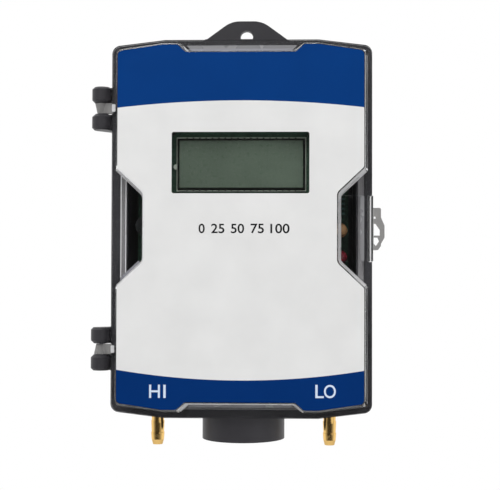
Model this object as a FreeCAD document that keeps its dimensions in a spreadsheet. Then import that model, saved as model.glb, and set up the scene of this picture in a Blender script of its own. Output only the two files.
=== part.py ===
import FreeCAD, Part

import math
import os
from types import SimpleNamespace

import Sketcher
from FreeCAD import Placement, Rotation, Vector

# Differential pressure transmitter in a hinged case, in millimetres.
# The wall lies at y = 0, the front looks along -Y, and Z points up. Heights above the wall are called "out".
# The origin is the centre of the case's back face.

SIZES = {
    # Case outline
    "body_width": 104.0,
    "body_height": 151.0,
    "flat_half": 30.7,
    "shoulder_drop": 2.6,
    "corner_radius": 3.5,
    # Housing
    "base_depth": 37.5,
    "back_wall": 2.5,
    "rim_width": 6.2,
    "inner_radius": 3.0,
    "groove_inset": 3.2,
    "groove_width": 2.4,
    "groove_depth": 2.0,
    "core_width": 2.2,
    "core_length": 15.0,
    "core_pitch": 18.5,
    "core_first": 23.5,
    "core_roof": 4.5,
    # Wall tab with its screw hole
    "tab_height": 16.5,
    "tab_thickness": 3.0,
    "tab_peak_half": 6.6,
    "tab_root_half": 29.3,
    "tab_radius": 11.0,
    "tab_hole_drop": 6.9,
    "tab_hole_radius": 2.75,
    "tab_pad_half": 15.0,
    "tab_pad_rise": 0.9,
    "tab_pad_depth": 26.0,
    # Wall screw holes inside the wiring space
    "wall_screw_x": 24.0,
    "wall_screw_rise": 15.0,
    "wall_screw_radius": 2.3,
    # Conduit boss
    "conduit_out": 20.0,
    "boss_radius": 17.0,
    "boss_length": 10.3,
    "boss_root_chamfer": 0.45,
    "conduit_radius": 9.6,
    "conduit_chamfer": 1.2,
    # Hinges
    "hinge_reach": 4.4,
    "hinge_spread": 48.2,
    "hinge_length": 17.2,
    "hinge_gap": 4.4,
    "knuckle_radius": 4.0,
    "knuckle_chamfer": 0.9,
    "knuckle_inner_chamfer": 1.2,
    "knuckle_end_wall": 1.2,
    "pin_radius": 1.0,
    "pin_seat": 0.02,
    "pin_running": 0.05,
    "lug_wide": 2.8,
    "lug_narrow": 1.9,
    "lug_side_gap": 0.2,
    # Lid
    "parting_gap": 0.2,
    "flange_thickness": 2.5,
    "plateau_rise": 7.8,
    "plateau_inset": 3.1,
    "plateau_foot_inset": 3.7,
    "plateau_draft": 1.4,
    "plateau_wall": 2.0,
    "plateau_radius": 2.4,
    "notch_radius": 1.4,
    "window_radius": 3.0,
    "edge_round": 0.5,
    "notch_half": 24.8,
    "notch_slope": 3.4,
    "notch_depth": 3.0,
    "window_half": 23.5,
    "window_slope": 10.0,
    "window_depth": 10.6,
    # Latch arm and seal tab
    "latch_half": 13.0,
    "latch_thickness": 1.8,
    "latch_proud": 0.4,
    "latch_gap": 0.3,
    "latch_end": 19.0,
    "nose_height": 0.8,
    "nose_length": 4.5,
    "nose_lead": 1.5,
    "rib_width": 0.8,
    "rib_rise": 0.7,
    "rib_length": 9.0,
    "seal_thickness": 2.0,
    "seal_reach": 4.9,
    "seal_ear": 3.5,
    "seal_ear_length": 3.8,
    "seal_top": 8.2,
    "seal_bottom": 8.6,
    "seal_heel_width": 1.2,
    "seal_heel": 1.7,
    "seal_heel_length": 2.5,
    "seal_bulge_top": 1.2,
    "seal_bulge_low": 3.6,
    "seal_round": 0.7,
    "seal_margin": 0.2,
    "seal_pinhole_radius": 0.45,
    "seal_pinhole_z": 4.3,
    "seal_slot_top": 1.9,
    "seal_slot_bevel": 2.4,
    "seal_slot_low": 2.8,
    "seal_slot_narrow": 0.8,
    "seal_slot_width": 2.5,
    "seal_foot_top": 3.6,
    "seal_foot_bevel": 1.4,
    "seal_foot_low": 7.0,
    "seal_foot_step": 1.0,
    "seal_foot_narrow": 0.9,
    "seal_foot_mouth": 1.6,
    "seal_foot_width": 2.2,
    # Label
    "label_inset": 0.5,
    "label_thickness": 0.25,
    "display_window_width": 54.0,
    "display_window_height": 24.1,
    "display_window_radius": 0.8,
    "display_z": 25.4,
    # Gasket
    "gasket_clearance": 0.1,
    # Pressure fittings, measured from the bottom of the case
    "fitting_x": 35.7,
    "fitting_out": 20.0,
    "shank_radius": 3.5,
    "shank_clearance": 0.05,
    "fitting_boss_radius": 5.6,
    "fitting_boss_rise": 8.6,
    "seal_ring_height": 1.0,
    "seal_ring_radius": 5.0,
    "collar_across": 9.0,
    "collar_height": 3.0,
    "spigot_radius": 1.6,
    "spigot_length": 6.0,
    "fitting_bore": 1.2,
    "barb_radius": 2.78,
    "barb_neck": 2.6,
    "barb_tip": 2.05,
    "barb_pitch": 4.75,
    "barb_first": 3.4,
    "barb_land": 0.8,
    "barb_lead": 2.0,
    "barb_reach": 13.2,
    "shank_drop": 1.2,
    # Tubes and sensor
    "tube_radius": 3.2,
    "tube_clearance": 0.05,
    "tube_bend": 10.0,
    "tube_straight": 2.0,
    "sensor_width": 38.0,
    "sensor_height": 26.0,
    "sensor_depth": 14.0,
    "sensor_z": 6.0,
    "sensor_port_x": 14.0,
    "sensor_port_length": 8.0,
    "sensor_round": 1.0,
    # Main board
    "board_out": 26.9,
    "board_thickness": 1.6,
    "board_half_width": 43.0,
    "board_top": 66.0,
    "board_bottom": 38.0,
    "board_radius": 2.0,
    "boss_x": 38.0,
    "boss_top": 60.0,
    "boss_low": 32.0,
    "board_boss_radius": 3.4,
    "rib_thickness": 1.6,
    "insert_radius": 2.3,
    "insert_wall": 0.5,
    "insert_length": 6.0,
    "screw_radius": 1.5,
    "screw_clearance": 0.03,
    "screw_length": 6.0,
    "screw_head_radius": 2.8,
    "screw_head_height": 2.0,
    "screw_head_chamfer": 0.6,
    "screw_slot": 0.75,
    "screw_slot_depth": 1.0,
    "board_hole_radius": 1.7,
    # Display
    "display_board_out": 38.4,
    "display_board_width": 61.0,
    "display_board_height": 31.0,
    "glass_width": 51.6,
    "glass_height": 21.5,
    "glass_step": 1.3,
    "glass_plate": 1.1,
    "spacer_x": 27.6,
    "spacer_z": 12.8,
    "spacer_radius": 2.6,
    "spacer_pin": 1.2,
    "spacer_pin_clearance": 0.05,
    "spacer_pin_end": 0.8,
    "pin_pitch": 2.54,
    "pin_width": 0.5,
    "header_width": 24.0,
    "header_height": 5.0,
    # Terminal block
    "terminal_pitch": 5.08,
    "terminal_end": 0.9,
    "terminal_depth": 9.0,
    "terminal_rise": 10.0,
    "terminal_bevel": 2.0,
    "wire_width": 3.4,
    "wire_height": 3.6,
    "wire_depth": 6.0,
    "wire_floor": 1.0,
    "clamp_thickness": 0.8,
    "clamp_clearance": 0.1,
    "clamp_screw_radius": 1.6,
    "clamp_screw_length": 3.4,
    "clamp_screw_slot": 0.8,
    "clamp_screw_shift": 0.4,
    # Zero button
    "button_x": 26.0,
    "button_z": 22.0,
    "button_base": 12.0,
    "button_base_rise": 3.4,
    "button_floor": 0.3,
    "button_stem": 2.4,
    "button_radius": 3.2,
    "button_height": 4.4,
    "button_chamfer": 0.5,
    "button_travel": 0.5,
    "button_clearance": 0.1,
    # Range switch
    "switch_x": 26.0,
    "switch_z": 22.0,
    "switch_width": 12.0,
    "switch_height": 9.6,
    "switch_rise": 5.0,
    "lever_pitch": 2.54,
    "lever_width": 1.3,
    "lever_height": 1.7,
    "lever_length": 3.2,
    "lever_travel": 2.0,
    "lever_clearance": 0.15,
    "lever_sunk": 2.0,
    # Lamps
    "lamp_x": 39.7,
    "lamp_z": 0.3,
    "lamp_pitch": 10.8,
    "lamp_radius": 2.5,
    "lamp_flange": 2.9,
    "lamp_flange_height": 1.0,
    "lamp_height": 8.4,
    # Microcontroller
    "micro_width": 10.0,
    "micro_z": 6.0,
    "micro_rise": 1.4,
    "micro_stand": 0.1,
    "lead_pitch": 0.88,
    "lead_width": 0.4,
    "lead_reach": 1.0,
    "lead_overlap": 0.2,
    # Small parts on the main board
    "amplifier_width": 5.0,
    "amplifier_height": 4.0,
    "amplifier_rise": 1.5,
    "amplifier_x": 18.0,
    "amplifier_z": 4.0,
    "amplifier_pitch": 10.0,
    "capacitor_radius": 4.0,
    "capacitor_rise": 7.6,
    "capacitor_x": 38.9,
    "capacitor_z": 1.2,
    "small_capacitor_radius": 3.2,
    "small_capacitor_rise": 7.2,
    "small_capacitor_x": 36.6,
    "small_capacitor_top": 10.6,
    "small_capacitor_low": 21.0,
    "regulator_x": 36.5,
    "regulator_z": 13.0,
    "regulator_width": 6.6,
    "regulator_height": 9.0,
    "regulator_rise": 2.3,
    "resistor_width": 2.0,
    "resistor_height": 0.9,
    "resistor_rise": 0.6,
    "resistor_x": 26.0,
    "resistor_z": 9.5,
    "resistor_pitch": 4.0,
    "window_resistor_x": 40.6,
    "window_resistor_z": 6.6,
}

TERMINALS = 6
LEVERS = 4
LEADS = 11
DISPLAY_PINS = 18
# Half the step that an offset of a 45 degree slant makes along the edge it meets
SLANT = math.tan(math.pi / 8)
DIAGONAL = math.sqrt(0.5)
NEAR = 0.01


class Term:
    """A length: its number, and the sheet expression that gives it."""

    def __init__(self, value, text):
        self.value = float(value)
        self.text = text

    def __add__(self, other):
        other = term(other)
        return Term(self.value + other.value, f"({self.text} + {other.text})")

    def __sub__(self, other):
        other = term(other)
        return Term(self.value - other.value, f"({self.text} - {other.text})")

    def __rsub__(self, other):
        return term(other) - self

    def __mul__(self, factor):
        return Term(self.value * factor, f"({self.text} * {factor:.9f})")

    def __truediv__(self, factor):
        return Term(self.value / factor, f"({self.text} / {factor:.9f})")

    def __neg__(self):
        return self * -1

    __radd__ = __add__
    __rmul__ = __mul__


def term(value):
    """The value as a Term; a plain number is written into the expression."""
    return value if isinstance(value, Term) else Term(value, f"{value:.9f}")


doc = FreeCAD.newDocument("PressureTransmitter")
sheet = doc.addObject("Spreadsheet::Sheet", "Sizes")
size = SimpleNamespace()
for row, (alias, number) in enumerate(SIZES.items(), 1):
    sheet.set(f"A{row}", alias)
    sheet.set(f"B{row}", str(number))
    sheet.setAlias(f"B{row}", alias)
    setattr(size, alias, Term(number, f"Sizes.{alias}"))
doc.recompute()

pieces = []


# Helpers


def bind(feature, prop, value):
    """Ties a property to the sheet."""
    feature.setExpression(prop, term(value).text)


def place(feature, x=0, y=0, z=0):
    """Puts a sub-part at a point that the sheet gives."""
    feature.Placement = Placement(Vector(term(x).value, term(y).value, term(z).value), Rotation())
    for axis, value in zip("xyz", (x, y, z)):
        bind(feature, f"Placement.Base.{axis}", value)


def new_body(label, piece=True):
    body = doc.addObject("PartDesign::Body", label)
    body.Label = label
    if piece:
        pieces.append(body)
    return body


def origin(body, role):
    return next(item for item in body.Origin.OriginFeatures if item.Role == role)


def new_sketch(body, role, offset=0):
    sketch = body.newObject("Sketcher::SketchObject", f"{body.Label}_sketch")
    sketch.AttachmentSupport = [(origin(body, role), "")]
    sketch.MapMode = "FlatFace"
    sketch.AttachmentOffset = Placement(Vector(0, 0, term(offset).value), Rotation())
    bind(sketch, "AttachmentOffset.Base.z", offset)
    return sketch


def front_sketch(body, out=0):
    """A sketch seen from the front, x right and z up, at a height above the wall."""
    return new_sketch(body, "XZ_Plane", out)


def level_sketch(body, z=0):
    """A sketch seen from above, x right and y away from the viewer."""
    return new_sketch(body, "XY_Plane", z)


def hold(sketch, geometry, point, x, y):
    """Fixes a sketch point by its two distances from the origin."""
    for kind, axis, value in (("DistanceX", -2, term(x)), ("DistanceY", -1, term(y))):
        if abs(value.value) < 1e-9:
            sketch.addConstraint(Sketcher.Constraint("PointOnObject", geometry, point, axis))
            continue
        made = Sketcher.Constraint(kind, -1, 1, geometry, point, value.value)
        index = sketch.addConstraint(made)
        name = f"{kind}_{geometry}_{point}"
        sketch.renameConstraint(index, name)
        sketch.setExpression(f"Constraints.{name}", value.text)


def radius_of(sketch, geometry, radius):
    index = sketch.addConstraint(Sketcher.Constraint("Radius", geometry, radius.value))
    sketch.renameConstraint(index, f"Radius_{geometry}")
    sketch.setExpression(f"Constraints.Radius_{geometry}", radius.text)


def polygon(sketch, corners):
    first = sketch.GeometryCount
    points = [Vector(term(x).value, term(y).value, 0) for x, y in corners]
    count = len(points)
    for i in range(count):
        sketch.addGeometry(Part.LineSegment(points[i], points[(i + 1) % count]), False)
    for i in range(count):
        after = first + (i + 1) % count
        sketch.addConstraint(Sketcher.Constraint("Coincident", first + i, 2, after, 1))
    for i, (x, y) in enumerate(corners):
        hold(sketch, first + i, 1, x, y)


def rectangle(sketch, left, bottom, right, top):
    polygon(sketch, [(left, bottom), (right, bottom), (right, top), (left, top)])


def circle(sketch, x, y, radius):
    radius = term(radius)
    centre = Vector(term(x).value, term(y).value, 0)
    geometry = sketch.addGeometry(Part.Circle(centre, Vector(0, 0, 1), radius.value), False)
    radius_of(sketch, geometry, radius)
    hold(sketch, geometry, 3, x, y)


def domed_profile(sketch, corners, centre, radius):
    """A closed outline that starts and ends on the axis, with an arc between its last two corners."""
    points = [Vector(term(x).value, term(y).value, 0) for x, y in corners]
    count = len(points)
    for i in range(count - 2):
        sketch.addGeometry(Part.LineSegment(points[i], points[i + 1]), False)
    middle_point = Vector(term(centre[0]).value, term(centre[1]).value, 0)
    towards = (points[-1] + points[-2]) * 0.5 - middle_point
    on_arc = middle_point + towards * (term(radius).value / towards.Length)
    arc = sketch.addGeometry(Part.Arc(points[-2], on_arc, points[-1]), False)
    axis = sketch.addGeometry(Part.LineSegment(points[-1], points[0]), False)
    for i in range(count - 3):
        sketch.addConstraint(Sketcher.Constraint("Coincident", i, 2, i + 1, 1))
    ends = [sketch.getPoint(arc, end) for end in (1, 2)]
    first, last = (1, 2) if (ends[0] - points[-2]).Length < (ends[1] - points[-2]).Length else (2, 1)
    sketch.addConstraint(Sketcher.Constraint("Coincident", count - 3, 2, arc, first))
    sketch.addConstraint(Sketcher.Constraint("Coincident", arc, last, axis, 1))
    sketch.addConstraint(Sketcher.Constraint("Coincident", axis, 2, 0, 1))
    for i, (x, y) in enumerate(corners[:-2]):
        hold(sketch, i, 1, x, y)
    hold(sketch, arc, 3, *centre)
    sketch.addConstraint(Sketcher.Constraint("PointOnObject", arc, last, -2))
    hold(sketch, arc, first, *corners[-2])


def pad(body, sketch, length, backwards=False):
    feature = body.newObject("PartDesign::Pad", f"{body.Label}_pad")
    feature.Profile = sketch
    feature.Reversed = backwards
    feature.Length = term(length).value
    bind(feature, "Length", length)
    doc.recompute()
    return feature


def pocket(body, sketch, length, backwards=False):
    """Cuts against the sketch's normal, or along it when backwards, and makes sure that something is cut."""
    before = body.Shape.Volume
    feature = body.newObject("PartDesign::Pocket", f"{body.Label}_pocket")
    feature.Profile = sketch
    feature.Reversed = backwards
    feature.Length = term(length).value
    bind(feature, "Length", length)
    doc.recompute()
    if body.Shape.Volume >= before:
        raise RuntimeError(f"{feature.Label} cuts nothing")
    return feature


def loft(body, kind, first, last):
    feature = body.newObject(f"PartDesign::{kind}Loft", f"{body.Label}_loft")
    feature.Profile = first
    feature.Sections = [last]
    feature.Ruled = True
    doc.recompute()
    return feature


def revolve(body, sketch):
    """Turns a sketch about its own upright axis."""
    feature = body.newObject("PartDesign::Revolution", f"{body.Label}_turned")
    feature.Profile = sketch
    feature.ReferenceAxis = (sketch, ["V_Axis"])
    feature.Angle = 360
    doc.recompute()
    return feature


def edges(body, test):
    found = enumerate(body.Tip.Shape.Edges, 1)
    return [f"Edge{index}" for index, edge in found if test(edge)]


def round_edges(body, test, radius, kind="Fillet"):
    names = edges(body, test)
    if not names:
        raise RuntimeError(f"{body.Label} has no edge to work on")
    base = body.Tip
    feature = body.newObject(f"PartDesign::{kind}", f"{body.Label}_{kind}")
    feature.Base = (base, names)
    prop = "Radius" if kind == "Fillet" else "Size"
    setattr(feature, prop, term(radius).value)
    bind(feature, prop, radius)
    doc.recompute()
    return feature


def repeat_along(body, originals, role, length, count, backwards=False):
    """A row of copies over a length along one of the body's axes."""
    feature = body.newObject("PartDesign::LinearPattern", f"{body.Label}_row")
    feature.Originals = originals
    feature.Direction = (origin(body, role), [""])
    feature.Reversed = backwards
    feature.Length = term(length).value
    bind(feature, "Length", length)
    feature.Occurrences = count
    body.Tip = feature
    doc.recompute()


def mirror(body, originals, role):
    feature = body.newObject("PartDesign::Mirrored", f"{body.Label}_mirrored")
    feature.Originals = originals
    feature.MirrorPlane = (origin(body, role), [""])
    body.Tip = feature
    doc.recompute()
    return feature


def outs(edge):
    """Heights above the wall at the ends of an edge."""
    return sorted(-vertex.Point.y for vertex in edge.Vertexes)


def spans(edge, low, high):
    ends = outs(edge)
    if len(ends) != 2:
        return False
    return abs(ends[0] - term(low).value) < NEAR and abs(ends[1] - term(high).value) < NEAR


def middle(edge):
    return edge.valueAt((edge.FirstParameter + edge.LastParameter) / 2)


def block(label, x, z, width, height, out, thickness, piece=True):
    """A box with its centre at x, z, from one height above the wall to another."""
    box = doc.addObject("Part::Box", label)
    box.Label = label
    for prop, value in (("Length", width), ("Width", thickness), ("Height", height)):
        bind(box, prop, value)
    place(box, term(x) - term(width) / 2, -(term(out) + thickness), term(z) - term(height) / 2)
    if piece:
        pieces.append(box)
    return box


def group(label, members):
    """Separate solids that are alike or belong together, kept in one sub-part."""
    made = doc.addObject("Part::Compound", label)
    made.Label = label
    made.Links = members
    pieces.append(made)
    return made


def copies(label, master, points):
    """The same piece at several points."""
    links = []
    for x, y, z in points:
        link = doc.addObject("App::Link", f"{label}_copy")
        link.LinkedObject = master
        link.LinkTransform = True
        place(link, x, y, z)
        links.append(link)
    return group(label, links)


# Shared places

half_width = size.body_width / 2
half_height = size.body_height / 2
hinge_x = half_width + size.hinge_reach
lid_low = size.base_depth + size.parting_gap
lid_face = lid_low + size.flange_thickness
hinge_out = lid_low
plateau_out = lid_face + size.plateau_rise
board_face = size.board_out + size.board_thickness
display_face = size.display_board_out + size.board_thickness
boss_points = [(side * size.boss_x, z) for side in (-1, 1) for z in (size.boss_top, -size.boss_low)]
# Heights above the case's bottom: where a fitting's hexagon starts and ends
fitting_seat = size.fitting_boss_rise + size.seal_ring_height
collar_top = fitting_seat + size.collar_height


def case_outline(inset=0):
    """The case seen from the front: straight sides, and shoulders that drop a little towards them."""
    side = half_width - inset
    top = half_height - inset
    shoulder = top - size.shoulder_drop
    flat = size.flat_half
    return [
        (-side, -shoulder),
        (-flat, -top),
        (flat, -top),
        (side, -shoulder),
        (side, shoulder),
        (flat, top),
        (-flat, top),
        (-side, shoulder),
    ]


def case_corner(inset=0):
    """A test for the four upright edges where the sides meet the shoulders."""
    side = (half_width - inset).value
    shoulder = (half_height - inset - size.shoulder_drop).value

    def test(edge):
        ends = edge.Vertexes
        upright = len(ends) == 2 and abs(ends[0].Point.y - ends[1].Point.y) > 1
        point = middle(edge)
        return upright and abs(abs(point.x) - side) < NEAR and abs(abs(point.z) - shoulder) < NEAR

    return test


def plateau_quarter(inset, foot=False):
    """Corners of a quarter of the raised part of the lid, with half of a shallow notch and half of a window.
    The lower two quarters end a little further from the edge of the case, at the foot."""
    side = half_width - size.plateau_inset - inset
    top = half_height - (size.plateau_foot_inset if foot else size.plateau_inset) - inset
    slant = term(inset) * SLANT
    return {
        "notch_floor": (size.notch_half - size.notch_slope + slant, top - size.notch_depth),
        "notch_mouth": (size.notch_half + slant, top),
        "shoulder": (size.flat_half, top),
        "corner": (side, top - size.shoulder_drop),
        "window_mouth": (side, size.window_half + slant),
        "window_floor": (side - size.window_depth, size.window_half - size.window_slope + slant),
    }


def plateau_outline(inset):
    """The raised part of the lid seen from the front, set in from the outline of its face."""
    upper = list(plateau_quarter(inset).values())
    lower = list(plateau_quarter(inset, foot=True).values())
    upper_right = upper
    lower_right = [(x, -z) for x, z in reversed(lower)]
    lower_left = [(-x, -z) for x, z in lower]
    upper_left = [(-x, z) for x, z in reversed(upper)]
    return upper_right + lower_right + lower_left + upper_left


def plateau_edge(names, low_inset, high_inset):
    """A test for the edges that rise at the named corners of that outline."""
    spots = []
    for foot in (False, True):
        low, high = plateau_quarter(low_inset, foot), plateau_quarter(high_inset, foot)
        spots += [[(low[name][axis] + high[name][axis]).value / 2 for axis in (0, 1)] for name in names]

    def test(edge):
        if len(edge.Vertexes) != 2:
            return False
        point = middle(edge)
        rises = abs(edge.Vertexes[0].Point.y - edge.Vertexes[1].Point.y) > NEAR
        met = any(abs(abs(point.x) - x) < NEAR * 5 and abs(abs(point.z) - z) < NEAR * 5 for x, z in spots)
        return rises and met

    return test


NOTCH_CORNERS = ("notch_floor", "notch_mouth", "window_mouth")


# Housing: one dark moulding


def housing_hinges(body):
    """Two pairs of knuckles on the left wall, each on a gusset that slopes back to the wall."""
    low = size.hinge_spread - size.hinge_length / 2
    knuckle = (size.hinge_length - size.hinge_gap) / 2
    reach = size.knuckle_radius * DIAGONAL
    seat = size.base_depth - size.parting_gap
    made = []
    for start in (low, low + knuckle + size.hinge_gap):
        sketch = level_sketch(body, start)
        circle(sketch, -hinge_x, -hinge_out, size.knuckle_radius)
        made.append(pad(body, sketch, knuckle))
        sketch = level_sketch(body, start)
        wall = -half_width + size.rim_width / 4
        run = size.hinge_reach + size.rim_width / 4 + reach
        polygon(
            sketch,
            [
                (wall, -seat),
                (-hinge_x, -seat),
                (-hinge_x - reach, -(hinge_out - reach)),
                (wall, -(hinge_out - reach - run)),
            ],
        )
        made.append(pad(body, sketch, knuckle))
    sketch = level_sketch(body, low + size.hinge_length)
    circle(sketch, -hinge_x, -hinge_out, size.pin_radius + size.pin_seat)
    made.append(pocket(body, sketch, size.hinge_length - size.knuckle_end_wall))
    mirror(body, made, "XY_Plane")

    def knuckle_end(edge, ends):
        height = abs(middle(edge).z)
        if edge.Curve.TypeId != "Part::GeomCircle" or abs(edge.Curve.Radius - size.knuckle_radius.value) > NEAR:
            return False
        return any(abs(height - end) < NEAR for end in ends)

    outer = (low.value, (low + size.hinge_length).value)
    inner = ((low + knuckle).value, (low + knuckle + size.hinge_gap).value)
    round_edges(body, lambda edge: knuckle_end(edge, outer), size.knuckle_chamfer, "Chamfer")
    round_edges(body, lambda edge: knuckle_end(edge, inner), size.knuckle_inner_chamfer, "Chamfer")


def housing_tab(body):
    """The wall tab at the top, with a rounded peak and one screw hole, and the low pad on the top wall."""
    peak = half_height + size.tab_height
    sketch = front_sketch(body)
    polygon(
        sketch,
        [
            (-size.tab_root_half, half_height - size.rim_width / 2),
            (size.tab_root_half, half_height - size.rim_width / 2),
            (size.tab_root_half, half_height),
            (size.tab_peak_half, peak),
            (-size.tab_peak_half, peak),
            (-size.tab_root_half, half_height),
        ],
    )
    pad(body, sketch, size.tab_thickness)

    def at_peak(edge):
        point = middle(edge)
        at_side = abs(abs(point.x) - size.tab_peak_half.value) < NEAR
        return spans(edge, 0, size.tab_thickness) and at_side and abs(point.z - peak.value) < NEAR

    round_edges(body, at_peak, size.tab_radius)
    sketch = front_sketch(body, size.tab_thickness)
    circle(sketch, 0, peak - size.tab_hole_drop, size.tab_hole_radius)
    pocket(body, sketch, size.tab_thickness)
    sketch = front_sketch(body, size.base_depth - size.tab_pad_depth)
    half = size.tab_pad_half
    rectangle(sketch, -half, half_height - size.rim_width / 2, half, half_height + size.tab_pad_rise)
    pad(body, sketch, size.tab_pad_depth - size.parting_gap)


def housing_cores(body):
    """Slots from the back that keep the thick side walls from sinking."""
    centre = half_width - size.rim_width / 2
    depth = size.base_depth - size.groove_depth - size.core_roof
    half = size.core_length / 2
    for level in (-1, 1):
        made = []
        for side in (-1, 1):
            sketch = front_sketch(body)
            left = side * centre - size.core_width / 2
            z = level * size.core_first
            rectangle(sketch, left, z - half, left + size.core_width, z + half)
            made.append(pocket(body, sketch, depth, backwards=True))
        repeat_along(body, made, "Z_Axis", size.core_pitch * 2, 3, backwards=level < 0)


def housing():
    body = new_body("housing")
    sketch = front_sketch(body)
    polygon(sketch, case_outline())
    pad(body, sketch, size.base_depth)
    round_edges(body, case_corner(), size.corner_radius)

    sketch = level_sketch(body, -half_height - size.boss_length)
    circle(sketch, 0, -size.conduit_out, size.boss_radius)
    pad(body, sketch, size.boss_length + size.rim_width / 2)

    def at_root(edge):
        flat = abs(middle(edge).z + half_height.value) < NEAR
        return flat and edge.Curve.TypeId == "Part::GeomCircle"

    round_edges(body, at_root, size.boss_root_chamfer, "Chamfer")

    housing_tab(body)

    sketch = front_sketch(body, size.base_depth)
    polygon(sketch, case_outline(size.rim_width))
    pocket(body, sketch, size.base_depth - size.back_wall)
    round_edges(body, case_corner(size.rim_width), size.inner_radius)

    groove_end = size.groove_inset + size.groove_width
    sketch = front_sketch(body, size.base_depth)
    polygon(sketch, case_outline(size.groove_inset))
    polygon(sketch, case_outline(groove_end))
    pocket(body, sketch, size.groove_depth)
    round_edges(body, case_corner(size.groove_inset), size.inner_radius)
    round_edges(body, case_corner(groove_end), size.inner_radius)

    housing_hinges(body)

    # Board bosses with a rib to the nearer side wall
    sketch = front_sketch(body, size.back_wall / 2)
    for x, z in boss_points:
        circle(sketch, x, z, size.board_boss_radius)
    rise = size.board_out - size.back_wall / 2
    pad(body, sketch, rise)
    sketch = front_sketch(body, size.back_wall / 2)
    for x, z in boss_points:
        wall = half_width - size.rim_width + size.core_width / 2
        start = size.boss_x + size.insert_radius + size.insert_wall
        left, right = (start, wall) if x.value > 0 else (-wall, -start)
        rectangle(sketch, left, z - size.rib_thickness / 2, right, z + size.rib_thickness / 2)
    pad(body, sketch, rise - size.insert_length)
    sketch = front_sketch(body, size.board_out)
    for x, z in boss_points:
        circle(sketch, x, z, size.insert_radius + size.screw_clearance)
    pocket(body, sketch, size.insert_length + size.screw_radius)

    # Bosses inside the bottom wall, where the pressure fittings seat
    for side in (-1, 1):
        sketch = level_sketch(body, -half_height + size.rim_width / 2)
        circle(sketch, side * size.fitting_x, -size.fitting_out, size.fitting_boss_radius)
        pad(body, sketch, size.fitting_boss_rise - size.rim_width / 2)
    sketch = level_sketch(body, -half_height + size.fitting_boss_rise)
    for side in (-1, 1):
        circle(sketch, side * size.fitting_x, -size.fitting_out, size.shank_radius + size.shank_clearance)
    pocket(body, sketch, size.fitting_boss_rise)

    # Conduit opening through boss and bottom wall
    sketch = level_sketch(body, -half_height - size.boss_length)
    circle(sketch, 0, -size.conduit_out, size.conduit_radius)
    pocket(body, sketch, size.boss_length + size.rim_width, backwards=True)

    def at_mouth(edge):
        low = abs(middle(edge).z + half_height.value + size.boss_length.value) < NEAR
        return low and edge.Curve.TypeId == "Part::GeomCircle" and edge.Curve.Radius < size.boss_radius.value

    round_edges(body, at_mouth, size.conduit_chamfer, "Chamfer")

    # Screw holes in the back wall of the wiring space
    sketch = front_sketch(body, size.back_wall)
    for side in (-1, 1):
        circle(
            sketch,
            side * size.wall_screw_x,
            -half_height + size.wall_screw_rise,
            size.wall_screw_radius,
        )
    pocket(body, sketch, size.back_wall)

    housing_cores(body)

    # Recess for the latch arm, and the groove that holds its nose
    recess_floor = half_width + size.latch_proud - size.latch_thickness - size.latch_gap
    recess_half = size.latch_half + size.latch_gap
    recess_end = size.latch_end - size.latch_gap
    nose_crest = recess_floor - size.nose_height
    nose_end = recess_end + size.nose_lead + size.nose_length + size.latch_gap
    sketch = level_sketch(body, -recess_half)
    polygon(
        sketch,
        [
            (half_width + size.latch_proud, -recess_end),
            (nose_crest, -recess_end),
            (nose_crest, -(recess_end + size.nose_lead + size.latch_gap)),
            (recess_floor, -nose_end),
            (recess_floor, -(size.base_depth + size.parting_gap)),
            (half_width + size.latch_proud, -(size.base_depth + size.parting_gap)),
        ],
    )
    pocket(body, sketch, recess_half * 2, backwards=True)
    return body


def gasket():
    body = new_body("gasket")
    low = size.base_depth - size.groove_depth
    outer = size.groove_inset + size.gasket_clearance
    inner = size.groove_inset + size.groove_width - size.gasket_clearance
    sketch = front_sketch(body, low)
    polygon(sketch, case_outline(outer))
    polygon(sketch, case_outline(inner))
    pad(body, sketch, lid_low - low)
    round_edges(body, case_corner(outer), size.inner_radius)
    round_edges(body, case_corner(inner), size.inner_radius)


# Lid: one clear moulding


def lid_hinges(body):
    """Two tapered lugs on the left edge, wide end outward, each running on a hinge pin."""
    low = size.hinge_spread - size.hinge_gap / 2 + size.lug_side_gap
    length = size.hinge_gap - size.lug_side_gap * 2
    sketch = level_sketch(body, low)
    polygon(
        sketch,
        [
            (-half_width + size.rim_width / 4, -lid_low),
            (-half_width + size.rim_width / 4, -lid_face),
            (-hinge_x, -(hinge_out + size.lug_narrow)),
            (-hinge_x, -lid_low),
        ],
    )
    web = pad(body, sketch, length)
    first = level_sketch(body, low)
    circle(first, -hinge_x, -hinge_out, size.lug_narrow)
    last = level_sketch(body, low + length)
    circle(last, -hinge_x, -hinge_out, size.lug_wide)
    cone = loft(body, "Additive", first, last)
    sketch = level_sketch(body, low + length)
    circle(sketch, -hinge_x, -hinge_out, size.pin_radius + size.pin_running)
    bore = pocket(body, sketch, length)
    mirror(body, [web, cone, bore], "XY_Plane")


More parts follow.
